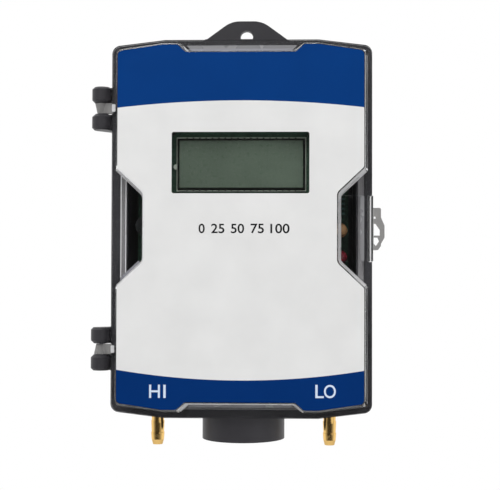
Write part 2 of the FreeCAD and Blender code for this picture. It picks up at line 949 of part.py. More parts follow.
def lid_latch(body):
    """The arm that hangs over the right wall with its nose, and the seal tab with three holes."""
    outer = half_width + size.latch_proud
    inner = outer - size.latch_thickness
    crest = size.latch_end + size.nose_lead
    sketch = level_sketch(body, -size.latch_half)
    polygon(
        sketch,
        [
            (outer, -lid_face),
            (inner, -lid_face),
            (inner, -(crest + size.nose_length)),
            (inner - size.nose_height, -crest),
            (inner, -size.latch_end),
            (outer, -size.latch_end),
        ],
    )
    pad(body, sketch, size.latch_half * 2)

    ear = half_width + size.seal_ear
    reach = half_width + size.seal_reach
    root = half_width - size.latch_thickness / 2
    tab_out = lid_face - size.seal_thickness
    sketch = front_sketch(body, tab_out)
    polygon(
        sketch,
        [
            (root, -size.seal_bottom),
            (ear - size.seal_heel_width, -size.seal_bottom),
            (ear, -size.seal_bottom + size.seal_heel),
            (ear, -size.seal_bottom + size.seal_heel_length),
            (reach, -size.seal_bulge_low),
            (reach, size.seal_bulge_top),
            (ear, size.seal_top - size.seal_ear_length),
            (ear, size.seal_top),
            (root, size.seal_top),
        ],
    )
    pad(body, sketch, size.seal_thickness)

    def rim_of_tab(edge):
        return spans(edge, tab_out, lid_face) and middle(edge).x > outer.value + size.seal_round.value

    round_edges(body, rim_of_tab, size.seal_round)

    # A pinhole, a slot with one slanted side and a smaller slot under it, for a seal wire
    left = outer + size.seal_margin
    sketch = front_sketch(body, lid_face)
    circle(sketch, left + size.seal_pinhole_radius, size.seal_pinhole_z, size.seal_pinhole_radius)
    polygon(
        sketch,
        [
            (left, size.seal_slot_top),
            (left + size.seal_slot_narrow, size.seal_slot_top),
            (left + size.seal_slot_width, size.seal_slot_top - size.seal_slot_bevel),
            (left + size.seal_slot_width, -size.seal_slot_low),
            (left, -size.seal_slot_low),
        ],
    )
    polygon(
        sketch,
        [
            (left, -size.seal_foot_top),
            (left + size.seal_foot_mouth, -size.seal_foot_top),
            (left + size.seal_foot_width, -size.seal_foot_top - size.seal_foot_bevel),
            (left + size.seal_foot_narrow, -size.seal_foot_low),
            (left, -size.seal_foot_low + size.seal_foot_step),
        ],
    )
    pocket(body, sketch, size.seal_thickness)


def lid():
    body = new_body("lid")
    sketch = front_sketch(body, lid_low)
    polygon(sketch, case_outline())
    pad(body, sketch, size.flange_thickness)
    round_edges(body, case_corner(), size.corner_radius)

    first = front_sketch(body, lid_face)
    polygon(first, plateau_outline(-size.plateau_draft))
    last = front_sketch(body, plateau_out)
    polygon(last, plateau_outline(0))
    loft(body, "Additive", first, last)

    outward = -size.plateau_draft
    round_edges(body, plateau_edge(["corner"], outward, 0), size.plateau_radius)
    round_edges(body, plateau_edge(NOTCH_CORNERS, outward, 0), size.notch_radius)
    round_edges(body, plateau_edge(["window_floor"], outward, 0), size.window_radius)

    def top_edge(edge):
        return spans(edge, plateau_out, plateau_out)

    round_edges(body, top_edge, size.edge_round)

    first = front_sketch(body, lid_low)
    spread = size.plateau_draft * (1 + SIZES["flange_thickness"] / SIZES["plateau_rise"])
    polygon(first, plateau_outline(size.plateau_wall - spread))
    last = front_sketch(body, plateau_out - size.plateau_wall)
    polygon(last, plateau_outline(size.plateau_wall))
    loft(body, "Subtractive", first, last)

    lid_hinges(body)
    lid_latch(body)

    # Stiffening ribs on the floor of the right window, in line with the ends of the latch arm
    sketch = front_sketch(body, lid_face)
    window_wall = half_width - size.plateau_inset - size.window_depth
    for side in (-1, 1):
        z = side * (size.latch_half - size.rib_width / 2)
        start = window_wall + size.plateau_draft / 2
        rectangle(sketch, start, z - size.rib_width / 2, start + size.rib_length, z + size.rib_width / 2)
    pad(body, sketch, size.rib_rise)
    return body


def label():
    body = new_body("label")
    sketch = front_sketch(body, plateau_out)
    polygon(sketch, plateau_outline(size.label_inset))
    pad(body, sketch, size.label_thickness)
    inset = size.label_inset
    round_edges(body, plateau_edge(["corner"], inset, inset), size.plateau_radius - inset)
    round_edges(body, plateau_edge(NOTCH_CORNERS, inset, inset), size.notch_radius)
    round_edges(body, plateau_edge(["window_floor"], inset, inset), size.window_radius)
    sketch = front_sketch(body, plateau_out + size.label_thickness)
    half = size.display_window_width / 2
    low = size.display_z - size.display_window_height / 2
    rectangle(sketch, -half, low, half, low + size.display_window_height)
    pocket(body, sketch, size.label_thickness)

    def window_corner(edge):
        upright = spans(edge, plateau_out, plateau_out + size.label_thickness)
        return upright and abs(abs(middle(edge).x) - half.value) < NEAR

    round_edges(body, window_corner, size.display_window_radius)


def hinge_pins():
    pin = new_body("hinge_pin", piece=False)
    length = size.hinge_length - size.knuckle_end_wall - size.pin_seat * 10
    sketch = level_sketch(pin)
    circle(sketch, 0, 0, size.pin_radius)
    pad(pin, sketch, length)
    top = size.hinge_spread + size.hinge_length / 2
    points = [
        (-hinge_x, -hinge_out, top - length - size.pin_seat * 5),
        (-hinge_x, -hinge_out, -top + size.pin_seat * 5),
    ]
    copies("hinge_pins", pin, points)


# Pressure side


def fitting_profile():
    """Half section of a hose barb with its shank and inner spigot, up from the outer tip."""
    barbs = []
    for ridge in (size.barb_first + size.barb_pitch, size.barb_first):
        crest = [(size.barb_radius, -(ridge + size.barb_land)), (size.barb_radius, -ridge)]
        barbs += [*crest, (size.barb_neck, -ridge)]
    tip = -size.barb_reach
    return [
        (size.fitting_bore, tip),
        (size.barb_tip, tip),
        (size.barb_neck, tip + size.barb_lead),
        *barbs,
        (size.barb_neck, size.shank_drop),
        (size.shank_radius, size.shank_drop),
        (size.shank_radius, fitting_seat),
        (size.spigot_radius, fitting_seat),
        (size.spigot_radius, collar_top + size.spigot_length),
        (size.fitting_bore, collar_top + size.spigot_length),
    ]


def hexagon(sketch, across):
    """Six corners round the sketch's origin, by the width over the flats."""
    corner = across / math.sqrt(3)
    half = across / 2
    polygon(
        sketch,
        [
            (corner, 0),
            (corner / 2, half),
            (-corner / 2, half),
            (-corner, 0),
            (-corner / 2, -half),
            (corner / 2, -half),
        ],
    )


def pressure_fitting(label, side):
    """A turned barb with a hexagon above the wall, which draws the seal ring down."""
    body = new_body(label)
    sketch = front_sketch(body)
    polygon(sketch, fitting_profile())
    revolve(body, sketch)
    sketch = level_sketch(body, fitting_seat)
    hexagon(sketch, size.collar_across)
    circle(sketch, 0, 0, size.fitting_bore)
    pad(body, sketch, size.collar_height)
    place(body, side * size.fitting_x, -size.fitting_out, -half_height)


def port_seals():
    ring = new_body("port_seal", piece=False)
    sketch = level_sketch(ring)
    circle(sketch, 0, 0, size.seal_ring_radius)
    circle(sketch, 0, 0, size.shank_radius + size.shank_clearance)
    pad(ring, sketch, size.seal_ring_height)
    seat = -half_height + size.fitting_boss_rise
    points = [(side * size.fitting_x, -size.fitting_out, seat) for side in (-1, 1)]
    copies("port_seals", ring, points)


def tube_path(sketch, side, start, end):
    """Straight, bend out, straight, bend back, straight: two equal arcs with their common tangent."""
    bend = size.tube_bend
    x_in, x_out = size.sensor_port_x, size.fitting_x
    high = start - size.tube_straight - size.sensor_port_length
    low = end + size.tube_straight + size.spigot_length
    first_centre = Vector((x_in + bend).value, high.value, 0)
    last_centre = Vector((x_out - bend).value, low.value, 0)
    between = last_centre - first_centre
    lean = math.atan2(between.y, between.x)
    twist = math.asin(min(2 * bend.value / between.Length, 1))
    # Direction of the common tangent, and the points where the arcs meet it
    run = Vector(math.cos(lean + twist), math.sin(lean + twist), 0)
    across = Vector(-run.y, run.x, 0)
    leave = first_centre - across * bend.value
    join = last_centre + across * bend.value
    points = [
        Vector(x_in.value, start.value, 0),
        Vector(x_in.value, high.value, 0),
        leave,
        join,
        Vector(x_out.value, low.value, 0),
        Vector(x_out.value, end.value, 0),
    ]

    def on_side(point):
        return Vector(point.x * side, point.y, 0)

    def arc_middle(centre, a, b):
        towards = (a + b) * 0.5 - centre
        return centre + towards * (bend.value / towards.Length)

    a, b, c, d, e, f = points
    sketch.addGeometry(Part.LineSegment(on_side(a), on_side(b)), False)
    arc = Part.Arc(on_side(b), on_side(arc_middle(first_centre, b, c)), on_side(c))
    sketch.addGeometry(arc, False)
    sketch.addGeometry(Part.LineSegment(on_side(c), on_side(d)), False)
    arc = Part.Arc(on_side(d), on_side(arc_middle(last_centre, d, e)), on_side(e))
    sketch.addGeometry(arc, False)
    sketch.addGeometry(Part.LineSegment(on_side(e), on_side(f)), False)

    def arc_end(geometry, point):
        ends = [sketch.getPoint(geometry, end) for end in (1, 2)]
        near = [(end - on_side(point)).Length for end in ends]
        return 1 if near[0] < near[1] else 2

    for line, line_end, curve, point in ((0, 2, 1, b), (2, 1, 1, c), (2, 2, 3, d), (4, 1, 3, e)):
        joined = Sketcher.Constraint("Tangent", line, line_end, curve, arc_end(curve, point))
        sketch.addConstraint(joined)
    radius_of(sketch, 1, bend)
    radius_of(sketch, 3, bend)
    hold(sketch, 0, 1, side * x_in, start)
    hold(sketch, 0, 2, side * x_in, high)
    hold(sketch, 4, 1, side * x_out, low)
    hold(sketch, 4, 2, side * x_out, end)


def pressure_tube(label, side):
    body = new_body(label)
    start = size.sensor_z - size.sensor_height / 2
    end = -half_height + collar_top
    spine = front_sketch(body, size.fitting_out)
    tube_path(spine, side, start, end)
    ring = level_sketch(body, start)
    circle(ring, side * size.sensor_port_x, -size.fitting_out, size.tube_radius)
    circle(ring, side * size.sensor_port_x, -size.fitting_out, size.spigot_radius + size.tube_clearance)
    pipe = body.newObject("PartDesign::AdditivePipe", f"{label}_pipe")
    pipe.Profile = ring
    pipe.Spine = (spine, [f"Edge{index}" for index in range(1, 6)])
    doc.recompute()


def pressure_sensor():
    body = new_body("pressure_sensor")
    low = size.board_out - size.sensor_depth
    bottom = size.sensor_z - size.sensor_height / 2
    half = size.sensor_width / 2
    sketch = front_sketch(body, low)
    rectangle(sketch, -half, bottom, half, bottom + size.sensor_height)
    pad(body, sketch, size.sensor_depth)

    def upright(edge):
        return spans(edge, low, size.board_out)

    round_edges(body, upright, size.sensor_round)
    for side in (-1, 1):
        sketch = level_sketch(body, bottom + size.sensor_round)
        circle(sketch, side * size.sensor_port_x, -size.fitting_out, size.spigot_radius)
        pad(body, sketch, size.sensor_port_length + size.sensor_round, backwards=True)
    sketch = level_sketch(body, bottom - size.sensor_port_length)
    for side in (-1, 1):
        circle(sketch, side * size.sensor_port_x, -size.fitting_out, size.fitting_bore)
    pocket(body, sketch, size.sensor_port_length + size.sensor_height / 2, backwards=True)


# Boards


def main_board():
    body = new_body("main_board")
    sketch = front_sketch(body, size.board_out)
    half = size.board_half_width
    rectangle(sketch, -half, -size.board_bottom, half, size.board_top)
    pad(body, sketch, size.board_thickness)

    def upright(edge):
        return spans(edge, size.board_out, board_face)

    round_edges(body, upright, size.board_radius)
    sketch = front_sketch(body, board_face)
    for x, z in boss_points:
        circle(sketch, x, z, size.board_hole_radius)
    for x, z in spacer_points():
        circle(sketch, x, z, size.spacer_pin + size.spacer_pin_clearance)
    pocket(body, sketch, size.board_thickness)


def spacer_points():
    corners = [(x, z) for x in (-1, 1) for z in (-1, 1)]
    return [(x * size.spacer_x, size.display_z + z * size.spacer_z) for x, z in corners]


def threaded_inserts():
    insert = new_body("threaded_insert", piece=False)
    sketch = front_sketch(insert)
    circle(sketch, 0, 0, size.insert_radius)
    circle(sketch, 0, 0, size.screw_radius + size.screw_clearance)
    pad(insert, sketch, size.insert_length)
    low = size.board_out - size.insert_length
    copies("threaded_inserts", insert, [(x, -low, z) for x, z in boss_points])


def board_screws():
    """Screws with a chamfered head, a shank and a cross recess."""
    screw = new_body("board_screw", piece=False)
    head = size.screw_head_height
    sketch = front_sketch(screw)
    circle(sketch, 0, 0, size.screw_head_radius)
    pad(screw, sketch, head)

    def rim(edge):
        return outs(edge)[0] > head.value / 2

    round_edges(screw, rim, size.screw_head_chamfer, "Chamfer")
    sketch = front_sketch(screw)
    circle(sketch, 0, 0, size.screw_radius)
    pad(screw, sketch, size.screw_length, backwards=True)
    arm = size.screw_head_radius / 2
    slot = size.screw_slot / 2
    for half_x, half_z in ((arm, slot), (slot, arm)):
        sketch = front_sketch(screw, head)
        rectangle(sketch, -half_x, -half_z, half_x, half_z)
        pocket(screw, sketch, size.screw_slot_depth)
    copies("board_screws", screw, [(x, -board_face, z) for x, z in boss_points])


def display_spacers():
    """Hexagonal spacers with a pin into each board."""
    spacer = new_body("display_spacer", piece=False)
    length = size.display_board_out - board_face
    pin = size.board_thickness + size.spacer_pin_end
    sketch = front_sketch(spacer)
    hexagon(sketch, size.spacer_radius * 2)
    pad(spacer, sketch, length)
    sketch = front_sketch(spacer)
    circle(sketch, 0, 0, size.spacer_pin)
    pad(spacer, sketch, pin, backwards=True)
    sketch = front_sketch(spacer, length)
    circle(sketch, 0, 0, size.spacer_pin)
    pad(spacer, sketch, pin)
    copies("display_spacers", spacer, [(x, -board_face, z) for x, z in spacer_points()])


def display():
    """Display board, the two glass plates with the filling seal, contact pins and the plug-in header."""
    body = new_body("display_board")
    half = size.display_board_width / 2
    low = size.display_z - size.display_board_height / 2
    sketch = front_sketch(body, size.display_board_out)
    rectangle(sketch, -half, low, half, low + size.display_board_height)
    pad(body, sketch, size.board_thickness)
    sketch = front_sketch(body, display_face)
    for x, z in spacer_points():
        circle(sketch, x, z, size.spacer_pin + size.spacer_pin_clearance)
    pocket(body, sketch, size.board_thickness)

    body = new_body("display_glass")
    half = size.glass_width / 2
    low = size.display_z - size.glass_height / 2
    sketch = front_sketch(body, display_face)
    rectangle(sketch, -half, low, half, low + size.glass_height)
    pad(body, sketch, size.glass_plate)
    sketch = front_sketch(body, display_face + size.glass_plate)
    step = size.glass_step
    rectangle(sketch, -half, low + step, half, low + size.glass_height - step)
    pad(body, sketch, size.glass_plate)
    sketch = front_sketch(body, display_face + size.glass_plate / 2)
    circle(sketch, -half, size.display_z - size.glass_plate, size.glass_plate)
    pad(body, sketch, size.glass_plate)

    pins = []
    row = size.pin_pitch * (DISPLAY_PINS - 1)
    for side in (-1, 1):
        z = size.display_z + side * (size.glass_height / 2 - size.glass_step / 2)
        for index in range(DISPLAY_PINS):
            x = size.pin_pitch * index - row / 2
            foot = display_face + size.glass_plate
            name = "display_pin"
            pins.append(block(name, x, z, size.pin_width, size.pin_width * 2, foot, size.pin_width, False))
    group("display_pins", pins)

    header_z = size.display_z + size.spacer_z
    block(
        "display_header",
        0,
        header_z,
        size.header_width,
        size.header_height,
        board_face,
        size.display_board_out - board_face,
    )


# Terminals


def terminal_places():
    row = size.terminal_pitch * (TERMINALS - 1)
    return [size.terminal_pitch * index - row / 2 for index in range(TERMINALS)]


def terminal_block():
    body = new_body("terminal_block")
    bottom = -size.board_bottom
    width = size.terminal_pitch * TERMINALS + size.terminal_end * 2
    first = terminal_places()[0]
    sketch = new_sketch(body, "YZ_Plane", -(width / 2))
    top = board_face + size.terminal_rise
    polygon(
        sketch,
        [
            (-board_face, bottom),
            (-(top - size.terminal_bevel), bottom),
            (-top, bottom + size.terminal_bevel),
            (-top, bottom + size.terminal_depth),
            (-board_face, bottom + size.terminal_depth),
        ],
    )
    pad(body, sketch, width)
    sketch = level_sketch(body, bottom)
    half = size.wire_width / 2
    wire_low = board_face + size.wire_floor
    wire_high = wire_low + size.wire_height
    screw_z = bottom + size.terminal_depth / 2 + size.clamp_screw_shift
    rectangle(sketch, first - half, -wire_high, first + half, -wire_low)
    entry = pocket(body, sketch, size.wire_depth, backwards=True)
    repeat_along(body, [entry], "X_Axis", size.terminal_pitch * (TERMINALS - 1), TERMINALS)
    sketch = front_sketch(body, top)
    circle(sketch, first, screw_z, size.clamp_screw_radius + size.clamp_clearance)
    hole = pocket(body, sketch, top - wire_high)
    repeat_along(body, [hole], "X_Axis", size.terminal_pitch * (TERMINALS - 1), TERMINALS)

    screw = new_body("clamp_screw", piece=False)
    sketch = front_sketch(screw)
    circle(sketch, 0, 0, size.clamp_screw_radius)
    pad(screw, sketch, size.clamp_screw_length)
    sketch = front_sketch(screw, size.clamp_screw_length)
    arm = size.clamp_screw_radius + size.clamp_clearance
    slot = size.clamp_screw_slot / 2
    rectangle(sketch, -arm, -slot, arm, slot)
    pocket(screw, sketch, size.clamp_screw_slot)
    copies("terminal_screws", screw, [(x, -wire_high, screw_z) for x in terminal_places()])

    clamps = []
    plate = size.wire_width - size.clamp_clearance * 2
    z = bottom + size.wire_depth - plate / 2 - size.clamp_clearance
    for x in terminal_places():
        clamps.append(block("wire_clamp", x, z, plate, plate, wire_low, size.clamp_thickness, False))
    group("wire_clamps", clamps)


# Controls


def zero_button():
    body = new_body("zero_switch")
    half = size.button_base / 2
    x, z = size.button_x, -size.button_z
    sketch = front_sketch(body, board_face)
    rectangle(sketch, x - half, z - half, x + half, z + half)
    pad(body, sketch, size.button_base_rise)
    top = board_face + size.button_base_rise
    sketch = front_sketch(body, top)
    circle(sketch, x, z, size.button_stem + size.button_clearance)
    pocket(body, sketch, size.button_base_rise - size.button_floor)

    body = new_body("zero_button")
    stem_low = board_face + size.button_floor + size.button_travel + size.button_clearance
    head_low = top + size.button_travel + size.button_clearance
    sketch = front_sketch(body, stem_low)
    circle(sketch, x, z, size.button_stem)
    pad(body, sketch, head_low - stem_low)
    sketch = front_sketch(body, head_low)
    circle(sketch, x, z, size.button_radius)
    pad(body, sketch, size.button_height)

    def crown(edge):
        return outs(edge)[0] > (head_low + size.button_height / 2).value

    round_edges(body, crown, size.button_chamfer, "Chamfer")


def range_switch():
    body = new_body("range_switch")
    x, z = -size.switch_x, -size.switch_z
    half = size.switch_width / 2
    tall = size.switch_height / 2
    top = board_face + size.switch_rise
    sketch = front_sketch(body, board_face)
    rectangle(sketch, x - half, z - tall, x + half, z + tall)
    pad(body, sketch, size.switch_rise)
    row = size.lever_pitch * (LEVERS - 1)
    gap = size.lever_clearance
    slot_half = size.lever_width / 2 + gap
    slot_tall = (size.lever_height + size.lever_travel) / 2 + gap
    places = [x + size.lever_pitch * index - row / 2 for index in range(LEVERS)]
    sketch = front_sketch(body, top)
    rectangle(sketch, places[0] - slot_half, z - slot_tall, places[0] + slot_half, z + slot_tall)
    slot = pocket(body, sketch, size.lever_sunk + gap)
    repeat_along(body, [slot], "X_Axis", row, LEVERS)
    for index, lever_x in enumerate(places, 1):
        block(
            f"range_lever_{index}",
            lever_x,
            z + size.lever_travel / 2,
            size.lever_width,
            size.lever_height,
            top - size.lever_sunk,
            size.lever_length,
        )


# Parts on the main board


def lamp(label, z):
    """A round lamp, turned: flange, barrel and dome."""
    body = new_body(label)
    barrel = size.lamp_height - size.lamp_radius
    corners = [
        (0, 0),
        (size.lamp_flange, 0),
        (size.lamp_flange, -size.lamp_flange_height),
        (size.lamp_radius, -size.lamp_flange_height),
        (size.lamp_radius, -barrel),
        (0, -size.lamp_height),
    ]
    sketch = level_sketch(body)
    domed_profile(sketch, corners, (0, -barrel), size.lamp_radius)
    revolve(body, sketch)
    place(body, size.lamp_x, -board_face, z)


def microcontroller():
    """Square package with a row of leads on each side."""
    body = new_body("microcontroller")
    half = size.micro_width / 2
    sketch = front_sketch(body, board_face + size.micro_stand)
    rectangle(sketch, -half, -size.micro_z - half, half, -size.micro_z + half)
    pad(body, sketch, size.micro_rise)
    row = size.lead_pitch * (LEADS - 1)
    low = -size.micro_z - row / 2 - size.lead_width / 2
    left = -half - size.lead_reach
    made = []
    for start in (left, half - size.lead_overlap):
        sketch = front_sketch(body, board_face)
        rectangle(sketch, start, low, start + size.lead_reach + size.lead_overlap, low + size.lead_width)
        made.append(pad(body, sketch, size.lead_width))
    repeat_along(body, made, "Z_Axis", row, LEADS)


def board_parts():
    low_z = size.amplifier_z - size.amplifier_pitch
    chips = []
    for side, z in ((-1, size.amplifier_z), (-1, low_z), (1, low_z)):
        x = side * size.amplifier_x
        width, height, rise = size.amplifier_width, size.amplifier_height, size.amplifier_rise
        chips.append(block("amplifier", x, z, width, height, board_face, rise, False))
    group("amplifier_chips", chips)

    small = (size.small_capacitor_radius, size.small_capacitor_rise)
    cans = [
        capacitor(-size.capacitor_x, size.capacitor_z, size.capacitor_radius, size.capacitor_rise),
        capacitor(-size.small_capacitor_x, size.small_capacitor_top, *small),
        capacitor(size.small_capacitor_x, -size.small_capacitor_low, *small),
    ]
    group("capacitors", cans)

    block(
        "voltage_regulator",
        -size.regulator_x,
        -size.regulator_z,
        size.regulator_width,
        size.regulator_height,
        board_face,
        size.regulator_rise,
    )

    chips = []
    pitch = size.resistor_pitch
    spots = [(-size.resistor_x + pitch * index, size.resistor_z) for index in range(6)]
    spots += [(size.window_resistor_x, size.window_resistor_z + pitch * index / 2) for index in range(5)]
    for x, z in spots:
        width, height, rise = size.resistor_width, size.resistor_height, size.resistor_rise
        chips.append(block("resistor", x, z, width, height, board_face, rise, False))
    group("surface_parts", chips)


def capacitor(x, z, radius, rise):
    can = doc.addObject("Part::Cylinder", "capacitor")
    bind(can, "Radius", radius)
    bind(can, "Height", rise)
    place(can, x, -board_face, z)
    can.Placement = Placement(can.Placement.Base, Rotation(Vector(1, 0, 0), 90))
    return can


housing()
gasket()
lid()
label()
hinge_pins()
for side_name, side_sign in (("high", -1), ("low", 1)):
    pressure_fitting(f"{side_name}_port", side_sign)
    pressure_tube(f"{side_name}_tube", side_sign)
port_seals()
pressure_sensor()
main_board()
threaded_inserts()
board_screws()
display_spacers()
display()
terminal_block()
zero_button()
range_switch()
lamp("amber_lamp", -size.lamp_z)
lamp("red_lamp", -size.lamp_z - size.lamp_pitch)
microcontroller()
board_parts()

# Check and write
doc.recompute()
for item in doc.Objects:
    if any(word in item.State for word in ("Invalid", "Error")):
        raise RuntimeError(f"{item.Label} failed: {item.State}")
os.makedirs("parts", exist_ok=True)
for piece in pieces:
    shape = piece.Shape
    if shape.isNull() or not shape.isValid():
        raise RuntimeError(f"{piece.Label} has no valid shape")
    shape.exportStep(f"parts/{piece.Label}.step")
    print(piece.Label, len(shape.Solids), round(shape.Volume, 1))
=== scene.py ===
import math

import bmesh
import bpy
from mathutils import Matrix, Vector
from mathutils.geometry import tessellate_polygon

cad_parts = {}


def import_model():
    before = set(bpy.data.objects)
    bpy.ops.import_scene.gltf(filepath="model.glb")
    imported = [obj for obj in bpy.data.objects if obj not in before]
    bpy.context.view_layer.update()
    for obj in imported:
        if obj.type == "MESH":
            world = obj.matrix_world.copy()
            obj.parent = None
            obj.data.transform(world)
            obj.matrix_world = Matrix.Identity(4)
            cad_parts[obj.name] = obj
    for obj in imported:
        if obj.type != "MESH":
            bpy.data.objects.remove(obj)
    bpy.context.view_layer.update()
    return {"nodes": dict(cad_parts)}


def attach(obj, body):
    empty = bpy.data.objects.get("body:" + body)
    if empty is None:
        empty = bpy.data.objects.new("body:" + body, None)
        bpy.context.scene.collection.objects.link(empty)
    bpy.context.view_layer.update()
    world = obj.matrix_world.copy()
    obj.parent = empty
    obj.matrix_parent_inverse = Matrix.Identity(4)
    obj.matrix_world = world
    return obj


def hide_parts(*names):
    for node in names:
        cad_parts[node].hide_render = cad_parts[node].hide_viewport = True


# Differential pressure transmitter: looks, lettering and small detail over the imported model.
# Lengths in this file are millimetres unless they say otherwise, and "out" is the height above the wall.

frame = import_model()

MM = 0.001

# Case, seen from the front
HALF_WIDTH = 52.0
HALF_HEIGHT = 75.5
FLAT_HALF = 30.7
SHOULDER_DROP = 2.6
GASKET_LOW = 35.5
GASKET_TOP = 37.7
LID_FACE = 40.2
HINGE_HEIGHT = 48.2

# Where the latch arm, the seal tab and the hinge lugs begin beside the middle, and half the arm's height
ARM_START = 50.5
TAB_START = HALF_WIDTH + 0.45
LUG_START = HALF_WIDTH + 0.1
ARM_HALF = 13.3

# Raised part of the lid, with its height above the middle at the top and at the bottom
PLATEAU_SIDE = 48.9
PLATEAU_TOP = 72.4
PLATEAU_FOOT = 71.8
PLATEAU_OUT = 48.0
NOTCH_HALF = 24.8
NOTCH_SLOPE = 3.4
NOTCH_DEPTH = 3.0
WINDOW_HALF = 23.5
WINDOW_SLOPE = 10.0
WINDOW_DEPTH = 10.6
# An inset outline's corner moves this much of the inset along the edge that the slanted edge meets
SLANT = math.tan(math.pi / 8)
# The wall of a notch or window stands this far out at its foot
WALL_FOOT = 1.45
TRIM_THICKNESS = 0.3

# Corner radii of the outlines: the crease at the shoulder, the corners, and the bends of notches and windows
CREASE = 0.05
CASE_CORNER = 3.0
PLATEAU_CORNER = 2.4
BEND = 1.4
WINDOW_BEND = 3.0

# Label, with the cut for the display, and the edge of each blue band in the middle and at the sides
LABEL_OUT = 48.23
PRINT_OUT = 48.25
LABEL_INSET = 0.5
CUT_HALF_WIDE = 27.0
CUT_HALF_TALL = 12.05
CUT_CORNER = 0.8
TOP_BAND_MIDDLE = 49.8
TOP_BAND_SIDE = 47.0
LOW_BAND_MIDDLE = -59.75
LOW_BAND_SIDE = -55.75

# Display
DISPLAY_Z = 25.4
DISPLAY_OUT = 40.0
GLASS_HALF_WIDE = 25.8
GLASS_HALF_TALL = 10.75
GLASS_THICKNESS = 1.1
SEAL_RADIUS = 1.1
SEAL_HALF_DEPTH = 0.55

# Conduit opening, and the ridge of its thread, whose foot is sunk a little into the wall
CONDUIT_OUT = 20.0
CONDUIT_RADIUS = 9.6
THREAD_LOW = -83.6
THREAD_PITCH = 1.81
THREAD_TURNS = 5
THREAD_HEIGHT = 0.6
THREAD_SINK = 0.05
THREAD_HALF_BASE = 0.8
THREAD_HALF_CREST = 0.12


def at(x, out, z):
    return Vector((x * MM, -out * MM, z * MM))


# Meshes


def link(name, mesh, body):
    made = bpy.data.objects.new(name, mesh)
    bpy.context.scene.collection.objects.link(made)
    if body:
        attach(made, body)
    return made


def add_mesh(name, points, faces, material, body):
    """A mesh object from points in metres, riding on a body."""
    mesh = bpy.data.meshes.new(name)
    mesh.from_pydata([tuple(p) for p in points], [], faces)
    mesh.materials.append(material)
    mesh.validate()
    bm = bmesh.new()
    bm.from_mesh(mesh)
    bmesh.ops.recalc_face_normals(bm, faces=bm.faces)
    bm.to_mesh(mesh)
    bm.free()
    return link(name, mesh, body)


def plate(name, loops, low, high, material, body):
    """A flat piece seen from the front: an outline, any holes in it, and two heights above the wall."""
    count = sum(len(loop) for loop in loops)
    points = [at(x, out, z) for out in (low, high) for loop in loops for x, z in loop]
    faces = []
    for a, b, c in tessellate_polygon([[Vector((x, z, 0)) for x, z in loop] for loop in loops]):
        faces += [(a, b, c), (c + count, b + count, a + count)]
    start = 0
    for loop in loops:
        for i in range(len(loop)):
            j = (i + 1) % len(loop)
            faces.append((start + i, start + j, start + j + count, start + i + count))
        start += len(loop)
    return add_mesh(name, points, faces, material, body)


def ring(name, outline, profile, material, body):
    """A closed section, given as inset and height, carried round an outline."""
    loops = [[at(x, out, z) for x, z in outline(inset)] for inset, out in profile]
    size = len(loops[0])
    points = [point for loop in loops for point in loop]
    faces = []
    for row in range(len(loops)):
        after = (row + 1) % len(loops)
        for i in range(size):
            j = (i + 1) % size
            faces.append((row * size + i, row * size + j, after * size + j, after * size + i))
    return add_mesh(name, points, faces, material, body)


def rounded(corners):
    """A closed outline with rounded corners, from corners given as a point and a radius."""
    made = []
    count, steps = len(corners), 6
    for i in range(count):
        before, here, after = (Vector(corners[(i + k) % count][0]) for k in (-1, 0, 1))
        radius = corners[i][1]
        a, b = (before - here).normalized(), (after - here).normalized()
        half = a.angle(b) / 2
        centre = here + (a + b).normalized() * (radius / math.sin(half))
        first, last = (here + side * (radius / math.tan(half)) for side in (a, b))
        start = math.atan2(first.y - centre.y, first.x - centre.x)
        turn = math.atan2(last.y - centre.y, last.x - centre.x) - start
        turn = (turn + math.pi) % (2 * math.pi) - math.pi
        for k in range(steps + 1):
            angle = start + turn * k / steps
            made.append((centre.x + radius * math.cos(angle), centre.y + radius * math.sin(angle)))
    return made


def rectangle(x, z, half_wide, half_tall, radius=0.0):
    corners = [(x + i * half_wide, z + k * half_tall) for i, k in ((-1, -1), (1, -1), (1, 1), (-1, 1))]
    return rounded([(corner, radius) for corner in corners]) if radius else corners


def four_quarters(upper, lower):
    """A closed outline from its upper right and, mirrored, its lower quarter."""
    upper_left = [((-x, z), r) for (x, z), r in reversed(upper)]
    lower_right = [((x, -z), r) for (x, z), r in reversed(lower)]
    lower_left = [((-x, -z), r) for (x, z), r in lower]
    return rounded(upper + lower_right + lower_left + upper_left)


def case_outline(inset):
    side, top = HALF_WIDTH - inset, HALF_HEIGHT - inset
    quarter = [((FLAT_HALF, top), CREASE), ((side, top - SHOULDER_DROP), CASE_CORNER)]
    return four_quarters(quarter, quarter)


def plateau_outline(inset):
    """The raised part of the lid with its four shallow notches and windows."""
    side = PLATEAU_SIDE - inset
    slant = inset * SLANT

    def quarter(top):
        return [
            ((NOTCH_HALF - NOTCH_SLOPE + slant, top - NOTCH_DEPTH), BEND),
            ((NOTCH_HALF + slant, top), BEND),
            ((FLAT_HALF, top), CREASE),
            ((side, top - SHOULDER_DROP), PLATEAU_CORNER - inset),
            ((side, WINDOW_HALF + slant), BEND),
            ((side - WINDOW_DEPTH, WINDOW_HALF - WINDOW_SLOPE + slant), WINDOW_BEND),
        ]

    return four_quarters(quarter(PLATEAU_TOP - inset), quarter(PLATEAU_FOOT - inset))


# Materials


def new_material(name):
    made = bpy.data.materials.new(name)
    made.use_nodes = True
    return made, made.node_tree, made.node_tree.nodes["Principled BSDF"]


